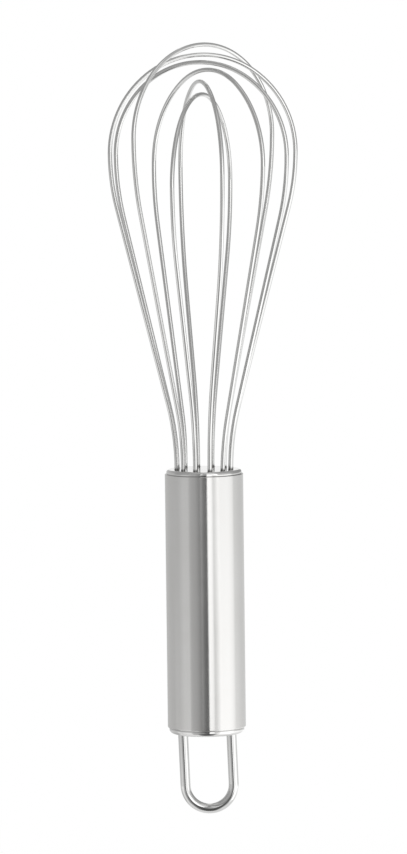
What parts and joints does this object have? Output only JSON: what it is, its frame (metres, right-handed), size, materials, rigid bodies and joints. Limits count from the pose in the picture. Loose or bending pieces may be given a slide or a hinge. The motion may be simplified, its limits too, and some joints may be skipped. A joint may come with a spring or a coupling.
{
  "type": "balloon whisk",
  "caption": "All-metal balloon whisk: nested sprung wire loops set in a perforated cap, a plain tube handle and a bent wire hanging loop.",
  "frame": {"origin": "on the axis of the grip tube, half way along it", "axes": "+Z along the axis towards the balloon, +X across the two legs of the hanging loop, +Y away from the viewer of the picture"},
  "size_m": [0.0605, 0.064, 0.2475],
  "materials": {
    "satin_steel": "satin, with fine lines round the tube",
    "cap_steel": "polished",
    "wire_steel": "bright drawn wire",
    "loop_steel": "bright drawn wire",
    "sealing": "poured sealing, hidden"
  },
  "bodies": {
    "root": {"handle_tube": "satin_steel", "wire_cap": "cap_steel", "end_cap": "cap_steel", "hanging_loop": "loop_steel", "wire_plug": "sealing", "balloon_wire_1": "wire_steel", "balloon_wire_2": "wire_steel", "balloon_wire_3": "wire_steel", "balloon_wire_4": "wire_steel", "balloon_wire_5": "wire_steel", "balloon_wire_6": "wire_steel"}
  },
  "joints": []
}
